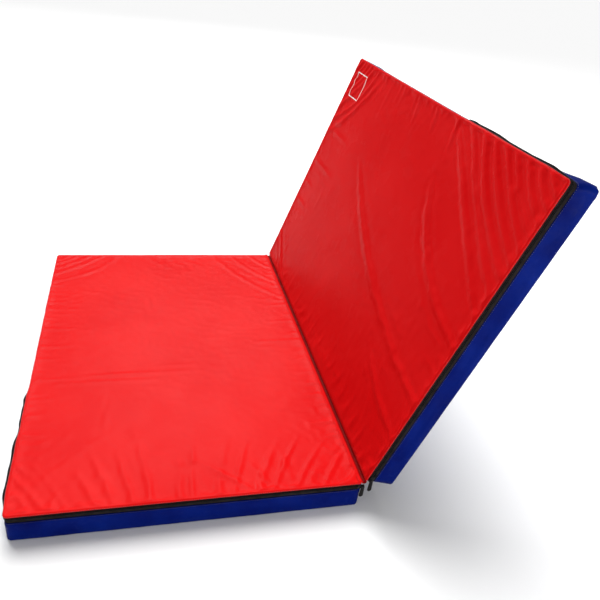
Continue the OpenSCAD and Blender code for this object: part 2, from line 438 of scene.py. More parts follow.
class Nodes:
    """Short calls for building one material's node tree. Inputs are numbers, colours or outputs."""

    def __init__(self, name):
        self.material = bpy.data.materials.new(name)
        self.material.use_nodes = True
        self.tree = self.material.node_tree

    def feed(self, node, values):
        """Sets or links a node's inputs, given by name or by number."""
        for key, value in values.items():
            if isinstance(value, bpy.types.NodeSocket):
                self.tree.links.new(value, node.inputs[key])
            elif value is not None:
                node.inputs[key].default_value = value

    def add(self, kind, output, inputs, **settings):
        """Adds a node, and gives back its output."""
        node = self.tree.nodes.new(kind)
        for key, value in settings.items():
            setattr(node, key, value)
        self.feed(node, inputs)
        return node.outputs[output]

    def uv(self):
        return self.add("ShaderNodeUVMap", "UV", {}, uv_map="cloth")

    def place(self):
        return self.add("ShaderNodeTexCoord", "Object", {})

    def part(self, vector, axis):
        return self.add("ShaderNodeSeparateXYZ", axis, {"Vector": vector})

    def noise(self, vector, scale, detail=3.0, roughness=0.5):
        inputs = {"Vector": vector, "Scale": scale, "Detail": detail, "Roughness": roughness}
        return self.add("ShaderNodeTexNoise", "Fac", inputs)

    def wave(self, vector, scale, direction):
        inputs = {"Vector": vector, "Scale": scale}
        return self.add("ShaderNodeTexWave", "Fac", inputs, bands_direction=direction)

    def math(self, operation, a, b=None):
        return self.add("ShaderNodeMath", "Value", {0: a, 1: b}, operation=operation)

    def ramp(self, fac, low, high, low_at=0.3, high_at=0.7):
        output = self.add("ShaderNodeValToRGB", "Color", {"Fac": fac})
        first, last = output.node.color_ramp.elements
        first.position, first.color = low_at, (*low, 1)
        last.position, last.color = high_at, (*high, 1)
        return output

    def between(self, fac, low, high, low_at=0.3, high_at=0.7):
        inputs = {"Value": fac, "From Min": low_at, "From Max": high_at, "To Min": low, "To Max": high}
        return self.add("ShaderNodeMapRange", "Result", inputs)

    def mix_colour(self, fac, base, colour):
        inputs = {"Factor": fac, "A": base, "B": (*colour, 1)}
        return self.add("ShaderNodeMix", "Result", inputs, data_type="RGBA")

    def bump(self, height, distance, strength, before=None):
        inputs = {"Height": height, "Distance": distance, "Strength": strength, "Normal": before}
        return self.add("ShaderNodeBump", "Normal", inputs)

    def finish(self, **values):
        """Sets or links the shader's inputs, and gives back the material."""
        shader = self.tree.nodes["Principled BSDF"]
        self.feed(shader, {name.replace("_", " "): value for name, value in values.items()})
        return self.material


def coated_fabric(
        name, colours, roughness, specular, patches=3.5, creases=0.0, print_mask=None, painted_shade=None):
    """Coated nylon: a fine weave under a smooth glossy coat. patches is the scale of its uneven colour,
    creases the depth of its small creases, print_mask a mask of print, and painted_shade a mask of
    painted shade."""
    n = Nodes(name)
    uv = n.uv()
    colour, faded_and_highlight = colours
    # The lighter colour in broad noise patches: uneven colour of the cloth, and on the blue also painted
    # highlight.
    base = n.ramp(n.noise(uv, patches, detail=4), colour, faded_and_highlight)
    scuffs = n.between(n.noise(uv, 45, detail=6, roughness=0.7), 0, 0.25, 0.62, 0.8)
    base = n.mix_colour(scuffs, base, faded_and_highlight)
    if print_mask:
        base = n.mix_colour(print_mask(n, uv), base, PRINT_COLOUR)
    # Painted shade: where the mask is high, the colour darkens to near-black red.
    if painted_shade:
        base = n.mix_colour(painted_shade(n, uv), base, CREASE_SHADE_COLOUR)
    weave = n.math("ADD", n.wave(uv, 260, "X"), n.wave(uv, 260, "Y"))
    grain = n.bump(n.noise(uv, 900, detail=2), 0.2 * MM, 0.25)
    normal = n.bump(weave, 0.08 * MM, 0.35, grain)
    if creases:
        normal = n.bump(n.noise(uv, 15, detail=3), creases, 0.8, normal)
    rough = n.between(n.noise(uv, 9, detail=5), roughness - 0.05, roughness + 0.07)
    return n.finish(
        Base_Color=base, Roughness=rough, Normal=normal,
        Specular_IOR_Level=specular, IOR=1.3, Sheen_Weight=0.01, Sheen_Roughness=0.4,
    )


def name_box(n, uv):
    """Mask of the outline of a blank printed box, for an owner's name."""
    past = []
    for axis, middle, half in zip("XY", BOX_MIDDLE, BOX_HALF):
        from_middle = n.math("ABSOLUTE", n.math("SUBTRACT", n.part(uv, axis), middle))
        past.append(n.math("SUBTRACT", from_middle, half))
    edge = n.math("MAXIMUM", *past)
    inside = n.math("LESS_THAN", edge, 0.0)
    line = n.math("GREATER_THAN", edge, -BOX_LINE)
    return n.math("MULTIPLY", inside, line)


def crease_painted_shade(n, uv):
    """Mask of painted shade down in the fold, full at its middle. The strip's U runs across it, in
    metres.
    """
    off_middle = n.math("ABSOLUTE", n.math("SUBTRACT", n.part(uv, "X"), STRIP_MIDDLE))
    return n.between(off_middle, CREASE_SHADE_MOST, 0.0, CREASE_SHADE_FULL, CREASE_SHADE_GONE)


def tape_material():
    """Woven zip tape: a ribbed black weave."""
    n = Nodes("zip_tape_weave")
    uv = n.uv()
    weave = n.math("MULTIPLY", n.wave(uv, 300, "X"), n.wave(uv, 180, "Y"))
    base = n.ramp(n.noise(uv, 60, detail=4), (0.006, 0.004, 0.004), (0.018, 0.014, 0.014))
    return n.finish(
        Base_Color=base, Roughness=0.75, Specular_IOR_Level=0.05,
        Normal=n.bump(weave, 0.25 * MM, 0.6),
    )


def plain_material(name, colour, worn, roughness, metallic=0.0, specular=0.3):
    """Moulded plastic, thread or painted metal with fine grain and lighter worn patches."""
    n = Nodes(name)
    place = n.place()
    wear = n.noise(place, 120, detail=6, roughness=0.65)
    base = n.ramp(wear, colour, worn, 0.5, 0.8)
    rough = n.between(n.noise(place, 60, detail=3), roughness - 0.06, roughness + 0.1)
    normal = n.bump(n.noise(place, 400, detail=2), 0.1 * MM, 0.2)
    return n.finish(
        Base_Color=base, Roughness=rough, Metallic=metallic, Normal=normal, Specular_IOR_Level=specular)


def foam_material():
    """Open-cell foam."""
    n = Nodes("foam")
    place = n.place()
    cells = n.noise(place, 350, detail=4)
    base = n.ramp(cells, (0.55, 0.47, 0.3), (0.72, 0.66, 0.48))
    return n.finish(Base_Color=base, Roughness=0.95, Normal=n.bump(cells, 0.5 * MM, 0.8))


RED = coated_fabric("red_cover_fabric", RED_COLOURS, 0.26, 0.05)
# The hinge strip's red, darkened down in the fold by painted shade.
RED_FOLDED = coated_fabric("red_cover_fabric_folded", RED_COLOURS, 0.26, 0.05, painted_shade=crease_painted_shade)
# The raised panel's red: the same cloth with the printed name box, a darker copy painted as shade, and
# less gloss.
RED_PRINTED_SHADED = coated_fabric(
    "red_cover_fabric_printed_shaded", SHADED_RED_COLOURS, 0.25, 0.022, print_mask=name_box)
# Broad lighter patches on the blue are partly painted highlight.
BLUE = coated_fabric("blue_cover_fabric", BLUE_COLOURS, 0.26, 0.03, patches=7, creases=9 * MM)
BLUE_THREAD = plain_material("blue_thread", (0.004, 0.008, 0.1), (0.01, 0.015, 0.15), 0.6)
TAPE = tape_material()
COIL = plain_material("zip_coil_nylon", (0.008, 0.007, 0.007), DARK_COLOURS, 0.45, specular=0.12)
METAL = plain_material(
    "zip_metal", (0.01, 0.01, 0.011), (0.08, 0.075, 0.07), 0.35, metallic=0.7, specular=0.2)
PULL = plain_material("pull_enamel", (0.004, 0.003, 0.003), DARK_COLOURS, 0.4, specular=0.12)
THREAD = plain_material("grey_thread", (0.16, 0.15, 0.15), (0.26, 0.25, 0.24), 0.7)
RED_THREAD = plain_material("red_thread", (0.4, 0.01, 0.01), (0.5, 0.03, 0.03), 0.6)
FOAM = foam_material()

# ---- the red top sheet


def curve_ridge(x, y, points, width, height):
    """Height of one soft fold that follows a bend through three points, fading at its ends."""
    start, middle, end = (np.array(p, float) for p in points)
    control = 2 * middle - (start + end) / 2
    t = np.linspace(0, 1, 24)[:, None]
    line = (1 - t) ** 2 * start + 2 * t * (1 - t) * control + t ** 2 * end
    best = np.full(x.shape, 1e9)
    where = np.zeros(x.shape)
    for k, (a, b) in enumerate(zip(line, line[1:])):
        d = b - a
        q = np.clip(((x - a[0]) * d[0] + (y - a[1]) * d[1]) / (d @ d), 0, 1)
        gap = np.hypot(x - a[0] - q * d[0], y - a[1] - q * d[1])
        nearer = gap < best
        best = np.where(nearer, gap, best)
        where = np.where(nearer, (k + q) / (len(line) - 1), where)
    fade = np.sin(math.pi * np.clip(where * 0.94 + 0.03, 0, 1)) ** 0.6
    across = best / (width * (0.6 + 0.4 * fade))
    return height * fade * (np.exp(-across ** 2) - 0.35 * np.exp(-((across - 1.7) ** 2)))


def front_fan(rng, middle, spread, count, lean, reach):
    """Puckers, as (three points, width, height), that fan out from the front up to the slope lean."""
    for k in range(count):
        t = (k + rng.uniform(0.25, 0.75)) / count * 2 - 1
        length = reach * rng.uniform(0.6, 1.0)
        x0 = middle + spread * t
        x1 = x0 + lean * t * length
        bend = (x0 * 0.55 + x1 * 0.45, -HALF_W + length * 0.5)
        height = FAN_HEIGHT * rng.uniform(0.6, 1.2) * (0.45 + 0.55 * (k + 1) / count)
        width = FAN_WIDTH * rng.uniform(0.7, 1.3)
        yield ((x0, -HALF_W), bend, (x1, -HALF_W + length)), width, height


def corner_gathers(rng, corner, inward, reaches, skew, height):
    """Soft folds that cross a corner, each further in, and skew times as far along Y as along X."""
    corner, inward = np.array(corner), np.array(inward)
    for reach in reaches:
        a = corner + inward * (reach, 3 * MM)
        b = corner + inward * (3 * MM, reach * skew)
        bulge = 0.56 + 0.05 * rng.uniform(-1, 1)
        middle = corner + inward * (reach * bulge, reach * skew * bulge)
        width = (8 * MM + 0.02 * reach) * rng.uniform(0.8, 1.2)
        yield (a, middle, b), width, height * rng.uniform(0.6, 1.2)


def left_folds():
    """The lying face: two fans at the front, gathers in its back corners, and one long fold."""
    rng = np.random.default_rng(3)
    yield from front_fan(rng, middle=-0.55, spread=0.36, count=13, lean=0.75, reach=0.24)
    yield from front_fan(rng, middle=-0.2, spread=0.16, count=5, lean=1.5, reach=0.2)
    yield from corner_gathers(
        rng, (END_X, HALF_W), (1, -1), (0.06, 0.1, 0.15, 0.21, 0.28), skew=0.9, height=2.4 * MM)
    yield from corner_gathers(
        rng, (FOLD_X, HALF_W), (-1, -1), (0.1, 0.19, 0.28), skew=1.5, height=2.2 * MM)
    yield ((-1.0, -0.185), (-0.7, -0.17), (-0.42, -0.165)), 12 * MM, 0.8 * MM


def right_folds():
    """The raised face: arcs round its outer corners, long folds from the front, and short ones."""
    rng = np.random.default_rng(8)
    front_reaches = (0.05, 0.08, 0.12, 0.16, 0.195, 0.235, 0.275, 0.33, 0.4)
    yield from corner_gathers(rng, (END_X, -HALF_W), (1, 1), front_reaches, skew=1.42, height=5 * MM)
    back_reaches = (0.05, 0.09, 0.13, 0.17, 0.22, 0.27, 0.34)
    yield from corner_gathers(rng, (END_X, HALF_W), (1, -1), back_reaches, skew=0.95, height=4 * MM)
    yield ((-0.30, -0.75), (-0.42, -0.2), (-0.66, 0.28)), 20 * MM, 5 * MM
    yield ((-0.50, -0.75), (-0.6, -0.45), (-0.79, -0.24)), 17 * MM, 4.4 * MM
    yield ((-0.17, -0.75), (-0.2, -0.58), (-0.26, -0.42)), 15 * MM, 3 * MM
    yield ((-0.03, -0.74), (-0.035, -0.1), (-0.035, 0.6)), 60 * MM, 6 * MM
    yield ((-0.02, 0.5), (-0.08, 0.62), (-0.15, 0.75)), 14 * MM, 3 * MM
    for x, length in ((-0.33, 0.16), (-0.42, 0.14), (-0.53, 0.27), (-0.68, 0.3)):
        yield ((x, HALF_W), (x - 0.004, HALF_W - length / 2), (x, HALF_W - length)), 13 * MM, 2 * MM
    for y, length in ((-0.05, 0.09), (0.09, 0.1), (-0.2, 0.12)):
        yield ((END_X, y), (END_X + length / 2, y - 0.012), (END_X + length, y - 0.03)), 10 * MM, 1.8 * MM


def near_edges(x, y, front, back, end, fold):
    """1 on each edge of the face, fading inwards over the distances given."""
    return (
        np.exp(-(y + HALF_W) / front),
        np.exp((y - HALF_W) / back),
        np.exp(-(x - END_X) / end),
        np.exp((x - FOLD_X) / fold),
    )


def seam_puckers(x, y, seed):
    """Fine gathers where the sheet is sewn along its edges: short, and square to each edge."""
    front, back, end, fold = near_edges(x, y, 0.03, 0.025, 0.025, 0.03)
    along_x = smooth_noise(x, y * 0.15, 0.016, seed) * np.maximum(front, back)
    along_y = smooth_noise(x * 0.15, y, 0.016, seed + 1) * np.maximum(end, fold)
    return SEAM_PUCKER * (along_x + along_y)


def rounded(x, y):
    """Bends the corners of the face's grid to the outline's rounded corners."""
    half_w = HALF_W - EDGE_R
    for sx, radius in ((1, FOLD_CORNER_R - EDGE_R), (-1, END_CORNER_R - EDGE_R)):
        edge_x = FOLD_X - EDGE_R if sx > 0 else END_X + EDGE_R
        for sy in (1, -1):
            u = sx * (x - edge_x) / radius + 1
            v = sy * (y - sy * half_w) / radius + 1
            inside = (u > 0) & (v > 0)
            bent_u = u * np.sqrt(np.clip(1 - v * v / 2, 0, 1))
            bent_v = v * np.sqrt(np.clip(1 - u * u / 2, 0, 1))
            x = np.where(inside, edge_x + sx * (bent_u - 1) * radius, x)
            y = np.where(inside, sy * half_w + sy * (bent_v - 1) * radius, y)
    return x, y


def graded_steps(length):
    """Distances from 0 to length, close together near both ends, where the seams pucker."""
    reached = [0.0]
    while reached[-1] < length / 2:
        grown = min(reached[-1] / GRADED_OVER, 1)
        reached.append(reached[-1] + SEAM_CELL + (SHEET_CELL - SEAM_CELL) * grown)
    half = np.array(reached) * (length / 2 / reached[-1])
    return np.concatenate([half, length - half[-2::-1]])


def grid_axis(low, high, corner_low, corner_high):
    """Grid lines from low to high, with extra ones inside each rounded corner."""
    first = np.linspace(low, low + corner_low, CORNER_LINES, endpoint=False)
    middle = low + corner_low + graded_steps(high - low - corner_low - corner_high)
    last = np.linspace(high - corner_high, high, CORNER_LINES + 1)[1:]
    return np.concatenate([first, middle, last])


def border_loop(rows, columns):
    """Indices of the grid's outermost points, in order around it."""
    index = np.arange(rows * columns).reshape(rows, columns)
    sides = (index[0], index[1:, -1], index[-1, -2::-1], index[-2:0:-1, 0])
    return np.concatenate(sides).tolist()


def outward_normals(loop_xy):
    """Unit normals in the plane, pointing out of a loop that runs anticlockwise."""
    tangent = np.roll(loop_xy, -1, 0) - np.roll(loop_xy, 1, 0)
    return unit(np.stack([tangent[:, 1], -tangent[:, 0]], -1))


def drawn_folds(panel, x, y):
    """The folds, swells and gathers that the sheet is given before it settles, as heights."""
    folds = left_folds() if panel is LEFT else right_folds()
    height = sum(curve_ridge(x, y, points, width, lift) for points, width, lift in folds)
    height = height + 1.2 * MM * smooth_noise(x, y, 0.23, panel.seed)
    height = height + 0.5 * MM * smooth_noise(x, y, 0.07, panel.seed + 1)
    return height + seam_puckers(x, y, panel.seed + 2)


def spare_cloth(panel, x, y):
    """Where the sheet has cloth to spare, from 0 to 1: along its seams and in its corners."""
    front, back, end, fold = near_edges(x, y, 0.13, 0.1, 0.09, 0.09)
    return np.clip(0.03 + front + 0.5 * back + 0.6 * end + 0.6 * fold, 0, 1)


def settle(points, faces, held, spare):
    """Lets a sheet that is sewn down at its held points settle on the foam, and gives back its points.
    spare says how far each point's cloth is cut larger than its place, from 0 to 1."""
    mesh = bpy.data.meshes.new("settling")
    mesh.from_pydata(points.tolist(), [], faces)
    sheet = add_object("settling", mesh)
    pins = sheet.vertex_groups.new(name="held")
    pins.add(held, 1.0, "REPLACE")
    slack = sheet.vertex_groups.new(name="cut_close")
    for k, amount in enumerate(spare):
        slack.add([k], 1 - float(amount), "REPLACE")

    cloth = sheet.modifiers.new("cloth", "CLOTH")
    fabric = cloth.settings
    fabric.quality = 5
    fabric.mass = 0.01
    fabric.air_damping = 2
    fabric.tension_stiffness = 15
    fabric.compression_stiffness = 15
    fabric.shear_stiffness = 12
    fabric.bending_stiffness = 0.05
    fabric.vertex_group_mass = "held"
    fabric.vertex_group_shrink = "cut_close"
    fabric.shrink_min = -SPARE_MOST
    fabric.shrink_max = 0
    fabric.effector_weights.gravity = 1.5
    cloth.collision_settings.distance_min = 0.5 * MM
    cloth.collision_settings.use_self_collision = False

    middle = ((END_X + FOLD_X) / 2, 0, TOP - FOAM_DEEP)
    bpy.ops.mesh.primitive_grid_add(x_subdivisions=20, y_subdivisions=30, size=1, location=middle)
    foam_top = bpy.context.object
    foam_top.scale = (FOLD_X - END_X + 0.1, 2 * HALF_W + 0.1, 1)
    foam_top.modifiers.new("foam", "COLLISION")
    foam_top.collision.thickness_outer = 0.5 * MM
    foam_top.collision.cloth_friction = 8

    for step in range(1, SETTLE_STEPS + 1):
        bpy.context.scene.frame_set(step)
    settled = sheet.evaluated_get(bpy.context.evaluated_depsgraph_get())
    result = np.zeros(len(points) * 3)
    settled.data.vertices.foreach_get("co", result)
    bpy.context.scene.frame_set(1)
    for done in (sheet, foam_top):
        bpy.data.objects.remove(done, do_unlink=True)
    return result.reshape(-1, 3)


def between_lines(coarse):
    """A grid of heights with every second line put back, halfway between its neighbours."""
    for _ in range(2):
        filled = np.empty((2 * len(coarse) - 1, coarse.shape[1]))
        filled[::2] = coarse
        filled[1::2] = (coarse[:-1] + coarse[1:]) / 2
        coarse = filled.T
    return coarse


def soften(height, times):
    """Evens out the finest creases of a grid of heights, and leaves its border alone."""
    for _ in range(times):
        inner = height[1:-1, 1:-1]
        around = height[:-2, 1:-1] + height[2:, 1:-1] + height[1:-1, :-2] + height[1:-1, 2:]
        height = height.copy()
        height[1:-1, 1:-1] = 0.5 * inner + 0.125 * around
    return height


def settled_heights(panel, x, y, folds):
    """How far each point of the sheet's grid stands over its sewn edge once the cloth has settled."""
    rows, columns = x.shape
    loop = border_loop(rows, columns)
    heights = folds.ravel().copy()
    heights[loop] *= 0.4
    x, y = x.ravel(), y.ravel()
    points = np.stack([x, y, TOP - SHEET_SET + heights], -1)
    points = settle(points, grid_faces(rows, columns), loop, spare_cloth(panel, x, y))
    return points[:, 2].reshape(rows, columns) - TOP + SHEET_SET


def nearest_station(points_xy):
    """Distance along the outline of the outline point nearest to each point."""
    gaps = np.linalg.norm(points_xy[:, None, :] - EDGE_XY[None, :, :], axis=-1)
    return STATIONS[np.argmin(gaps, axis=1)]


def face_relief(panel, x, y):
    """How far each point of the face's grid stands over its sewn edge, kept within the limits."""
    folds = drawn_folds(panel, x, y)
    relief = folds
    settled = settled_heights(panel, x[::2, ::2], y[::2, ::2], folds[::2, ::2])
    relief = SETTLED_MORE * soften(between_lines(settled), 3) + FOLDS_KEPT * folds
    from_edge = np.minimum.reduce([x - END_X, FOLD_X - x, y + HALF_W, HALF_W - y]) - EDGE_R
    relief = relief * (0.4 + 0.6 * smooth_step(0, 8 * MM, from_edge))
    relief = relief - FACE_SET * smooth_step(0, 30 * MM, from_edge)
    return np.where(
        relief > 0, RISE_MOST * np.tanh(relief / RISE_MOST), DIP_MOST * np.tanh(relief / DIP_MOST))


def edge_rings(panel, edge):
    """Rings of points that carry the face's outermost points over its edge, down to the hem."""
    normals = outward_normals(edge[:, :2])
    s = nearest_station(edge[:, :2])
    rings = []
    for k in range(1, EDGE_RINGS + 2):
        angle = math.pi / 2 * min(k / EDGE_RINGS, 1)
        depth = HEM_DEPTH if k > EDGE_RINGS else EDGE_R * (1 - math.cos(angle))
        out = EDGE_R * math.sin(angle) + panel.bulge(s, depth)[:, None] * math.sin(angle)
        ring = edge.copy()
        ring[:, :2] += normals * out
        ring[:, 2] = TOP - depth + (edge[:, 2] - TOP) * (0.4 + 0.6 * math.cos(angle))
        rings.append(ring)
    return rings


def make_top_sheet(panel):
    """The red face: a grid settled on the foam, rolled over the edge and hemmed."""
    xs = grid_axis(END_X + EDGE_R, FOLD_X - EDGE_R, END_CORNER_R - EDGE_R, FOLD_CORNER_R - EDGE_R)
    ys = grid_axis(-HALF_W + EDGE_R, HALF_W - EDGE_R, FOLD_CORNER_R, FOLD_CORNER_R)
    x, y = rounded(*np.meshgrid(xs, ys))
    height = TOP - SHEET_SET + face_relief(panel, x, y) - panel.edge_drop(x)
    face = np.stack([x.ravel(), y.ravel(), height.ravel()], -1)
    faces = grid_faces(*x.shape)
    upper = border_loop(*x.shape)
    rings = edge_rings(panel, face[upper])
    points = np.vstack([face] + rings)
    for k in range(len(rings)):
        start = len(face) + k * len(upper)
        lower = list(range(start, start + len(upper)))
        for i in range(len(upper)):
            j = (i + 1) % len(upper)
            faces.append((upper[i], lower[i], lower[j], upper[j]))
        upper = lower
    # The raised panel's face takes the darker copy of the red, which is painted shade.
    material = RED_PRINTED_SHADED if panel is RIGHT else RED
    add_sheet(
        panel, "top_cover", points, faces, material, "red_cover",
        uv=points[:, :2], nodes=["top_sheet"])


# ---- the blue walls and base


def wall_band(panel, name, s_from, s_to, top_depth, set_back, nodes):
    """One stretch of the side wall, tucked in by set_back at its top and turned under at the base."""
    columns = max(int(round((s_to - s_from) / WALL_CELL)), 2) + 1
    s = np.linspace(s_from, s_to, columns)
    depths = list(np.linspace(top_depth, THICK - BASE_R, WALL_ROWS))
    rows = []
    for depth in depths:
        tuck = set_back * float(1 - smooth_step(top_depth + 1 * MM, top_depth + 9 * MM, depth))
        rows.append(panel.wall(s, depth, -tuck))
    for k in range(1, BASE_TURNS + 1):
        angle = math.pi / 2 * k / BASE_TURNS
        depth = THICK - BASE_R + BASE_R * math.sin(angle)
        rows.append(panel.wall(s, depth, -BASE_R * (1 - math.cos(angle))))
        depths.append(depth)
    rows.append(panel.wall(s, THICK, -BASE_R - BASE_LAP))
    depths.append(THICK + BASE_LAP)
    add_sheet(
        panel, name, rows, grid_faces(len(rows), columns), BLUE, "blue_cover",
        uv=grid_uv(s, np.array(depths)), nodes=nodes)


def make_walls(panel):
    """The wall under the zip, and the one round the rest of the panel."""
    wall_band(panel, "zip_side_wall", 0, S_ZIP_END + SEAM_LAP, ZIP_LOW_DEPTH - 2 * MM,
              panel.zip_recess * 0.7, ["front_wall"])
    wall_band(panel, "plain_wall", S_ZIP_END - SEAM_LAP, AROUND + SEAM_LAP, EDGE_R, 1.2 * MM,
              ["end_wall", "back_wall", "fold_wall"])


def make_base(panel):
    """The blue underside, nearly flat on the floor."""
    inset = BASE_R + 2 * MM
    xs = np.linspace(END_X + inset + panel.end_lean, FOLD_X - FOLD_LEAN - inset, 41)
    ys = np.linspace(-HALF_W + inset, HALF_W - inset, 61)
    x, y = np.meshgrid(xs, ys)
    edge_gap = np.minimum.reduce([x - xs[0], xs[-1] - x, y - ys[0], ys[-1] - y])
    ripple = 0.5 + 0.5 * smooth_noise(x, y, 0.09, panel.seed + 9)
    lift = BASE_RIPPLE * smooth_step(0, 0.03, edge_gap) * ripple
    points = np.stack([x, y, BASE + lift], -1)
    faces = [face[::-1] for face in grid_faces(*x.shape)]
    add_sheet(
        panel, "base_cover", points, faces, BLUE, "blue_cover",
        uv=points[..., :2], nodes=["base_sheet"])


def make_foam(panel):
    """The foam core inside the cover, a block with rounded edges and corners."""
    columns = 160
    edge, normal = along_edge(np.linspace(0, AROUND, columns, endpoint=False))
    rounding = ((60 * MM, 0), (15 * MM, 0), (11 * MM, 1.5 * MM), (9 * MM, 6 * MM))
    upper = [(inset, FOAM_TOP + down) for inset, down in rounding]
    lower = [(inset, THICK - FOAM_LIFT - up) for inset, up in reversed(rounding)]
    rings = []
    for inset, depth in upper + lower:
        ring = edge - normal * inset
        x = ring[:, 0] - fold_lean(edge[:, 0], depth)
        rings.append(np.column_stack([x, ring[:, 1], np.full(columns, TOP - depth)]))
    faces = closed_tube_faces(len(rings), columns)
    foam = add_piece(panel, "foam_block", rings, faces, FOAM, "foam", nodes=["foam_core"])


# ---- the zips


def make_tape(panel, name, depth_from, depth_to):
    """One woven tape of the zip, tucked under the cover's hem and the wall at its sewn edges."""
    columns = int((S_ZIP_END - S_ZIP_START) / TAPE_CELL)
    s = np.linspace(S_TAPE_START, S_ZIP_END, columns)
    depths = np.linspace(depth_from, depth_to, TAPE_ROWS)
    rows = []
    for depth in depths:
        under_hem = 1 - smooth_step(HEM_DEPTH, HEM_DEPTH + 3 * MM, depth)
        under_wall = smooth_step(ZIP_LOW_DEPTH - 4 * MM, ZIP_LOW_DEPTH - 2 * MM, depth)
        tuck = panel.zip_recess + TAPE_TUCK * float(under_hem + under_wall)
        ripple = TAPE_RIPPLE * smooth_noise(s, 0 * s + depth, 0.02, panel.seed + 21) * (s > S_END)
        rows.append(panel.wall(s, depth, ripple - tuck))
    add_sheet(
        panel, name, rows, grid_faces(len(rows), columns), TAPE, "zip_tape",
        uv=grid_uv(s, depths), nodes=["zip_" + name],
        thickness=TAPE_T)


def tube(path, radius, sides, sideways):
    """A round tube along a path. sideways is a direction that the path never runs along."""
    along = unit(np.gradient(path, axis=0))
    across = unit(np.cross(along, sideways))
    up = np.cross(along, across)
    angles = np.arange(sides) * 2 * math.pi / sides
    rings = [path + radius * (across * math.cos(a) + up * math.sin(a)) for a in angles]
    return np.stack(rings, 1).reshape(-1, 3), closed_tube_faces(len(path), sides)


def make_coil(panel, name, direction):
    """One row of the coil: a flattened nylon spiral. direction is 1 for the upper row, -1 for the
    lower one, which is half a turn behind."""
    per_turn = 6
    sides = 4
    length = S_ZIP_END - 4 * MM - S_ZIP_START
    turns = int(length / COIL_PITCH)
    t = np.arange(turns * per_turn) / per_turn
    phase = 2 * math.pi * t + (0 if direction > 0 else math.pi)
    s = S_ZIP_START + t * COIL_PITCH
    depth = ZIP_DEPTH - direction * (TAPE_SLOT + 1.4 * MM - 1.7 * MM * np.cos(phase))
    out = 1.0 * MM + 0.7 * MM * np.sin(phase)
    path = panel.wall(s, depth, out - panel.zip_recess)
    edge, _ = along_edge(s)
    heading = unit(flat_vectors(np.gradient(edge, axis=0)))
    points, faces = tube(path, COIL_WIRE_R, sides, heading)
    uv = np.column_stack([np.repeat(s, sides), np.tile(np.arange(sides) * MM, len(s))])
    add_piece(panel, name, points, faces, COIL, "zip_coil", uv=uv, nodes=["zip_" + name])


def make_stitches(panel, name, centres, along, outward, material, slot):
    """A row of stitches, each a small spindle of thread lying on the cloth."""
    sideways = np.cross(along, outward)
    ends = along * STITCH_LENGTH / 2
    up = outward * STITCH_WIDTH * 0.45
    side = sideways * STITCH_WIDTH / 2
    corners = [-ends, up, side, -up, -side, ends]
    points = np.stack([centres + corner for corner in corners], 1).reshape(-1, 3)
    faces = []
    for k in range(len(centres)):
        first = len(corners) * k
        for i in range(4):
            p, q = first + 1 + i, first + 1 + (i + 1) % 4
            faces.append((first, q, p))
            faces.append((first + 5, p, q))
    add_piece(panel, name, points, faces, material, slot)


def edge_stitches(panel, name, s_from, s_to, depth, out, material, slot):
    """A row of stitches along the side wall at one depth."""
    s = np.arange(s_from, s_to, STITCH_PITCH)
    centres = panel.wall(s, depth, out)
    ahead = panel.wall(s + 1 * MM, depth, out)
    _, normals = along_edge(s)
    outward = flat_vectors(normals)
    make_stitches(panel, name, centres, unit(ahead - centres), outward, material, slot)


def make_zip(panel):
    """The two tapes, the two rows of the coil, and the stitching round the panel."""
    make_tape(panel, "tape_upper", EDGE_R - 1 * MM, ZIP_DEPTH - TAPE_SLOT)
    make_tape(panel, "tape_lower", ZIP_DEPTH + TAPE_SLOT, ZIP_LOW_DEPTH)
    make_coil(panel, "coil_upper", 1)
    make_coil(panel, "coil_lower", -1)
    tucked = STITCH_RISE - panel.zip_recess * 0.6
    hem, low = HEM_DEPTH - 1.3 * MM, ZIP_LOW_DEPTH + 0.5 * MM
    for row in (
        ("hem_stitches", S_ZIP_START, S_ZIP_END, hem, STITCH_RISE, THREAD, "zip_tape"),
        ("wall_stitches", S_ZIP_START, S_ZIP_END, low, tucked, THREAD, "zip_tape"),
        ("plain_hem_stitches", S_ZIP_END, AROUND - 0.02, hem, STITCH_RISE, RED_THREAD, "red_cover"),
        ("base_stitches", 0.01, AROUND - 0.01, THICK - 10 * MM, STITCH_RISE, BLUE_THREAD, "blue_cover"),
    ):
        edge_stitches(panel, *row)


# ---- the fold


def strip_height(panel, x, y):
    """Height of the hinge strip's outer face, in the panel frame."""
    gathers = 0.35 * MM * smooth_noise(x * 0.2, y, 0.018, 71) * smooth_step(-STRIP_HALF, -4 * MM, x)
    return TOP - STRIP_SET - panel.edge_drop(x) + gathers


def strip_half(panel, y):
    """The strip's lines of points on one panel, from its sewn edge down into the fold."""
    lines = []
    for x in np.linspace(-STRIP_HALF, -STRIP_EDGE, 6):
        lines.append(np.column_stack([np.full(len(y), x), y, strip_height(panel, x + 0 * y, y)]))
    shoulder = strip_height(panel, -STRIP_EDGE + 0 * y, y)
    for x, sink in ((-3.2 * MM, 0.8 * MM), (-2.6 * MM, 2.2 * MM), (-1.6 * MM, 4.2 * MM)):
        lines.append(np.column_stack([np.full(len(y), x), y, shoulder - sink]))
    if panel.mirrored:
        to_rest = np.array(Matrix.Rotation(-LIFT, 3, "Y"))
        lines = [(line * [-1, 1, 1]) @ to_rest.T for line in lines]
    return lines


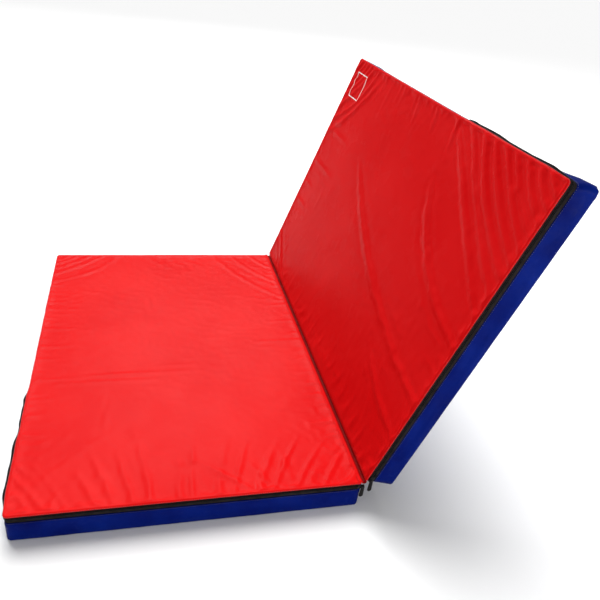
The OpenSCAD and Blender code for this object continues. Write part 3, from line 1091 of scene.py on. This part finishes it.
def make_hinge_strip():
    """The strip sewn to both faces. It dips into the gap between the panels, where its halves meet at the
    raised panel's angle.
    """
    y = np.linspace(-HALF_W + 0.5 * MM, HALF_W - 0.5 * MM, 168)
    left, right = strip_half(LEFT, y), strip_half(RIGHT, y)
    halfway = LIFT / 2 - math.pi / 2
    down = np.array([math.cos(halfway), 0, math.sin(halfway)])
    wander = 0.8 * MM * smooth_noise(y, 0 * y, 0.06, 91)
    bottom = np.column_stack([0 * y, y, 0 * y]) + down * (CREASE_DEEP + wander)[:, None]
    points = np.stack(left + [bottom] + right[::-1], 1)
    rows, columns = points.shape[:2]
    steps = [np.linalg.norm(points[0, k + 1] - points[0, k]) for k in range(columns - 1)]
    run = np.cumsum([0] + steps)
    run += STRIP_MIDDLE - run[len(left)]
    strip = add_mesh(
        "hinge_strip", points.reshape(-1, 3) + np.array(HINGE), grid_faces(rows, columns), RED_FOLDED,
        grid_uv(run, y))
    thicken(strip, CLOTH_T)
    bpy.context.view_layer.update()
    solid = bpy.data.meshes.new_from_object(strip.evaluated_get(bpy.context.evaluated_depsgraph_get()))
    strip.modifiers.clear()
    strip.data = solid
    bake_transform(strip)
    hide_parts("left_hinge_strip", "right_hinge_strip")


def make_strip_stitches(panel):
    """The stitches that hold the strip to one panel's face."""
    y = np.arange(-HALF_W + 6 * MM, HALF_W - 6 * MM, STITCH_PITCH)
    x = 0 * y - STRIP_HALF + 2 * MM
    centres = np.column_stack([x, y, strip_height(panel, x, y) + 0.1 * MM])
    along, outward = 0 * centres + (0, 1, 0), 0 * centres + (0, 0, 1)
    make_stitches(panel, "strip_stitches", centres, along, outward, RED_THREAD, "red_cover")


# ---- assembly

for each in (LEFT, RIGHT):
    make_foam(each)
    make_top_sheet(each)
    make_walls(each)
    make_base(each)
    make_zip(each)
make_hinge_strip()

for each in (LEFT, RIGHT):
    make_strip_stitches(each)
    for name, material in (("zip_slider", METAL), ("zip_stop", METAL), ("zip_pull", PULL)):
        frame["nodes"][each.node(name)].data.materials[0] = material

# ---- floor, light and camera


def make_floor():
    """A plain pale floor that runs to the horizon, just under the mat."""
    bpy.ops.mesh.primitive_plane_add(size=400, location=(0, 0, -0.3 * MM))
    floor = bpy.context.object
    floor.name = "studio_floor"
    n = Nodes("studio_floor")
    pale = n.finish(Base_Color=(0.9, 0.9, 0.9, 1), Roughness=0.9, Specular_IOR_Level=0.0)
    floor.data.materials.append(pale)


def add_light(kind, name, towards, **settings):
    """A light that shines along that direction."""
    light = bpy.data.lights.new(name, kind)
    for key, value in settings.items():
        setattr(light, key, value)
    holder = add_object(name, light)
    holder.rotation_mode = "QUATERNION"
    holder.rotation_quaternion = Vector(towards).to_track_quat("-Z", "Y")
    return holder


def add_softbox(name, place, size, radiance):
    """A rectangular softbox that faces the mat. It shows in reflections, and not to the camera."""
    power = radiance * math.pi * size[0] * size[1]
    holder = add_light(
        "AREA", name, HINGE - Vector(place), shape="RECTANGLE",
        size=size[0], size_y=size[1], energy=power)
    holder.location = place
    holder.visible_camera = False


def make_light():
    """A pale room, a broad sun from high behind the mat, a faint one from its left, and softboxes."""
    world = bpy.data.worlds.new("studio")
    bpy.context.scene.world = world
    world.use_nodes = True
    background = world.node_tree.nodes["Background"]
    background.inputs["Color"].default_value = (1, 1, 1, 1)
    background.inputs["Strength"].default_value = 0.26
    add_light("SUN", "high_light", (0.03, -0.47, -0.88), energy=2.75, angle=math.radians(36))
    add_light("SUN", "left_light", (0.75, -0.1, -0.65), energy=0.08, angle=math.radians(12))
    add_softbox("back_softbox", (0.8, 6.0, 5.5), (4.0, 3.6), 8)
    add_softbox("left_softbox", (-4.0, 5.6, 3.1), (3.2, 1.3), 7)
    add_softbox("front_softbox", (2.4, -4.2, 0.95), (2.8, 1.5), 9)


def make_camera():
    """A hand-held view from the front left, tilted a little."""
    azimuth, elevation, roll = (math.radians(a) for a in (16.29, 31.95, 7.37))
    from_hinge = Vector((-0.643, -1.883, 1.331))
    forward = Vector((
        math.cos(elevation) * math.sin(azimuth),
        math.cos(elevation) * math.cos(azimuth),
        -math.sin(elevation),
    ))
    level = forward.cross(Vector((0, 0, 1))).normalized()
    upright = level.cross(forward)
    right = math.cos(roll) * level + math.sin(roll) * upright
    up = math.cos(roll) * upright - math.sin(roll) * level
    data = bpy.data.cameras.new("camera")
    data.sensor_width = 36
    data.lens = 35.74
    data.shift_x = 0.0267
    data.shift_y = 0.0282
    data.clip_end = 100
    camera = add_object("camera", data)
    turn = Matrix((right, up, -forward)).transposed().to_4x4()
    camera.matrix_world = Matrix.Translation(HINGE + from_hinge) @ turn
    bpy.context.scene.camera = camera


make_floor()
make_light()
make_camera()
bpy.context.scene.view_settings.view_transform = "Standard"
